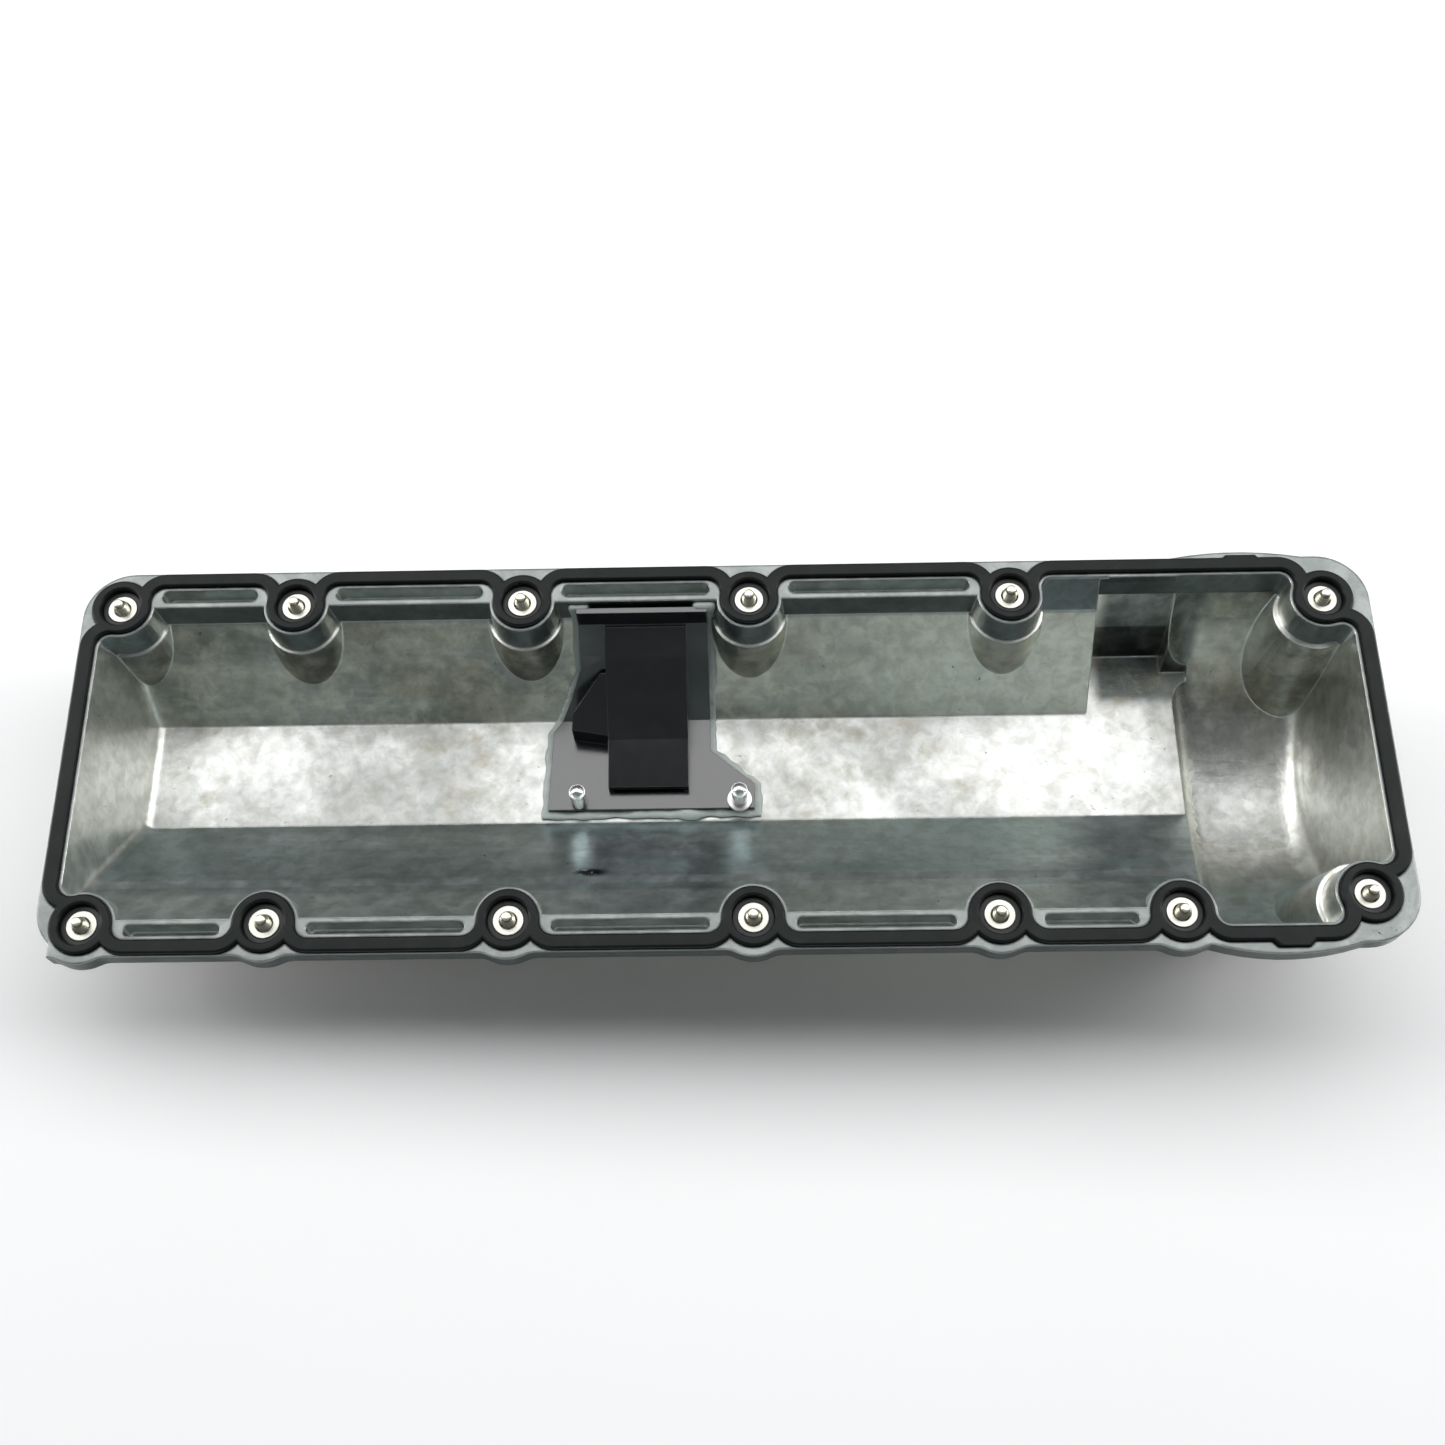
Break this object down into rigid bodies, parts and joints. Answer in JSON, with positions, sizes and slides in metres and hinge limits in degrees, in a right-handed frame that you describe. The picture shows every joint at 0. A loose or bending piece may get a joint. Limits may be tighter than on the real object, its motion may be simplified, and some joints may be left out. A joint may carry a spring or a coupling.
{
  "type": "cylinder head cover",
  "caption": "Long die-cast rocker cover shown open side up, with rubber gasket, floating captive bolts and an oil baffle over its breather outlet.",
  "frame": {"origin": "centre of the gasket face, which is the machined plane of the flange", "axes": "+X along the cover towards its gear end, +Z out of the open side, away from the roof"},
  "size_m": [0.5304, 0.1788, 0.0841],
  "materials": {
    "cast_aluminium": "die-cast, satin, oil-stained",
    "gasket_rubber": "satin moulded rubber",
    "zinc_sleeve": "bright zinc",
    "grommet_rubber": "matt moulded rubber",
    "baffle_plastic": "glossy moulded nylon",
    "sealant": "cured silicone",
    "pin_aluminium": "bright drawn",
    "ring_steel": "spring steel",
    "bolt_zinc": "zinc, passivated",
    "washer_zinc": "zinc, passivated",
    "spigot_steel": "zinc plated tube"
  },
  "bodies": {
    "cover": {"cover_casting": "cast_aluminium", "head_gasket": "gasket_rubber", "bolt_sleeves": "zinc_sleeve", "bolt_grommets": "grommet_rubber", "baffle": "baffle_plastic", "baffle_sealant": "sealant", "baffle_pins": "pin_aluminium", "pin_ring": "ring_steel", "breather_spigot": "spigot_steel"},
    "washer_1": {"washer_1": "washer_zinc"},
    "bolt_1": {"bolt_1": "bolt_zinc"},
    "washer_2": {"washer_2": "washer_zinc"},
    "bolt_2": {"bolt_2": "bolt_zinc"},
    "washer_3": {"washer_3": "washer_zinc"},
    "bolt_3": {"bolt_3": "bolt_zinc"},
    "washer_4": {"washer_4": "washer_zinc"},
    "bolt_4": {"bolt_4": "bolt_zinc"},
    "washer_5": {"washer_5": "washer_zinc"},
    "bolt_5": {"bolt_5": "bolt_zinc"},
    "washer_6": {"washer_6": "washer_zinc"},
    "bolt_6": {"bolt_6": "bolt_zinc"},
    "washer_7": {"washer_7": "washer_zinc"},
    "bolt_7": {"bolt_7": "bolt_zinc"},
    "washer_8": {"washer_8": "washer_zinc"},
    "bolt_8": {"bolt_8": "bolt_zinc"},
    "washer_9": {"washer_9": "washer_zinc"},
    "bolt_9": {"bolt_9": "bolt_zinc"},
    "washer_10": {"washer_10": "washer_zinc"},
    "bolt_10": {"bolt_10": "bolt_zinc"},
    "washer_11": {"washer_11": "washer_zinc"},
    "bolt_11": {"bolt_11": "bolt_zinc"},
    "washer_12": {"washer_12": "washer_zinc"},
    "bolt_12": {"bolt_12": "bolt_zinc"},
    "washer_13": {"washer_13": "washer_zinc"},
    "bolt_13": {"bolt_13": "bolt_zinc"}
  },
  "joints": [
    {"name": "bolt_1_float", "type": "slide", "parent": "cover", "child": "washer_1", "axis": [0, 0, 1], "range_m": [0, 0.006]},
    {"name": "bolt_1_turn", "type": "hinge", "parent": "washer_1", "child": "bolt_1", "pos_m": [-0.24955, 0.067, 0], "axis": [0, 0, 1], "continuous": true},
    {"name": "bolt_2_float", "type": "slide", "parent": "cover", "child": "washer_2", "axis": [0, 0, 1], "range_m": [0, 0.006]},
    {"name": "bolt_2_turn", "type": "hinge", "parent": "washer_2", "child": "bolt_2", "pos_m": [-0.17685, 0.067, 0], "axis": [0, 0, 1], "continuous": true},
    {"name": "bolt_3_float", "type": "slide", "parent": "cover", "child": "washer_3", "axis": [0, 0, 1], "range_m": [0, 0.006]},
    {"name": "bolt_3_turn", "type": "hinge", "parent": "washer_3", "child": "bolt_3", "pos_m": [-0.08285, 0.067, 0], "axis": [0, 0, 1], "continuous": true},
    {"name": "bolt_4_float", "type": "slide", "parent": "cover", "child": "washer_4", "axis": [0, 0, 1], "range_m": [0, 0.006]},
    {"name": "bolt_4_turn", "type": "hinge", "parent": "washer_4", "child": "bolt_4", "pos_m": [0.01115, 0.067, 0], "axis": [0, 0, 1], "continuous": true},
    {"name": "bolt_5_float", "type": "slide", "parent": "cover", "child": "washer_5", "axis": [0, 0, 1], "range_m": [0, 0.006]},
    {"name": "bolt_5_turn", "type": "hinge", "parent": "washer_5", "child": "bolt_5", "pos_m": [0.11875, 0.067, 0], "axis": [0, 0, 1], "continuous": true},
    {"name": "bolt_6_float", "type": "slide", "parent": "cover", "child": "washer_6", "axis": [0, 0, 1], "range_m": [0, 0.006]},
    {"name": "bolt_6_turn", "type": "hinge", "parent": "washer_6", "child": "bolt_6", "pos_m": [0.24645, 0.0633, 0], "axis": [0, 0, 1], "continuous": true},
    {"name": "bolt_7_float", "type": "slide", "parent": "cover", "child": "washer_7", "axis": [0, 0, 1], "range_m": [0, 0.006]},
    {"name": "bolt_7_turn", "type": "hinge", "parent": "washer_7", "child": "bolt_7", "pos_m": [-0.24745, -0.0697, 0], "axis": [0, 0, 1], "continuous": true},
    {"name": "bolt_8_float", "type": "slide", "parent": "cover", "child": "washer_8", "axis": [0, 0, 1], "range_m": [0, 0.006]},
    {"name": "bolt_8_turn", "type": "hinge", "parent": "washer_8", "child": "bolt_8", "pos_m": [-0.17685, -0.0697, 0], "axis": [0, 0, 1], "continuous": true},
    {"name": "bolt_9_float", "type": "slide", "parent": "cover", "child": "washer_9", "axis": [0, 0, 1], "range_m": [0, 0.006]},
    {"name": "bolt_9_turn", "type": "hinge", "parent": "washer_9", "child": "bolt_9", "pos_m": [-0.08285, -0.0697, 0], "axis": [0, 0, 1], "continuous": true},
    {"name": "bolt_10_float", "type": "slide", "parent": "cover", "child": "washer_10", "axis": [0, 0, 1], "range_m": [0, 0.006]},
    {"name": "bolt_10_turn", "type": "hinge", "parent": "washer_10", "child": "bolt_10", "pos_m": [0.01115, -0.0697, 0], "axis": [0, 0, 1], "continuous": true},
    {"name": "bolt_11_float", "type": "slide", "parent": "cover", "child": "washer_11", "axis": [0, 0, 1], "range_m": [0, 0.006]},
    {"name": "bolt_11_turn", "type": "hinge", "parent": "washer_11", "child": "bolt_11", "pos_m": [0.10515, -0.0697, 0], "axis": [0, 0, 1], "continuous": true},
    {"name": "bolt_12_float", "type": "slide", "parent": "cover", "child": "washer_12", "axis": [0, 0, 1], "range_m": [0, 0.006]},
    {"name": "bolt_12_turn", "type": "hinge", "parent": "washer_12", "child": "bolt_12", "pos_m": [0.17435, -0.0697, 0], "axis": [0, 0, 1], "continuous": true},
    {"name": "bolt_13_float", "type": "slide", "parent": "cover", "child": "washer_13", "axis": [0, 0, 1], "range_m": [0, 0.006]},
    {"name": "bolt_13_turn", "type": "hinge", "parent": "washer_13", "child": "bolt_13", "pos_m": [0.24645, -0.0633, 0], "axis": [0, 0, 1], "continuous": true}
  ]
}
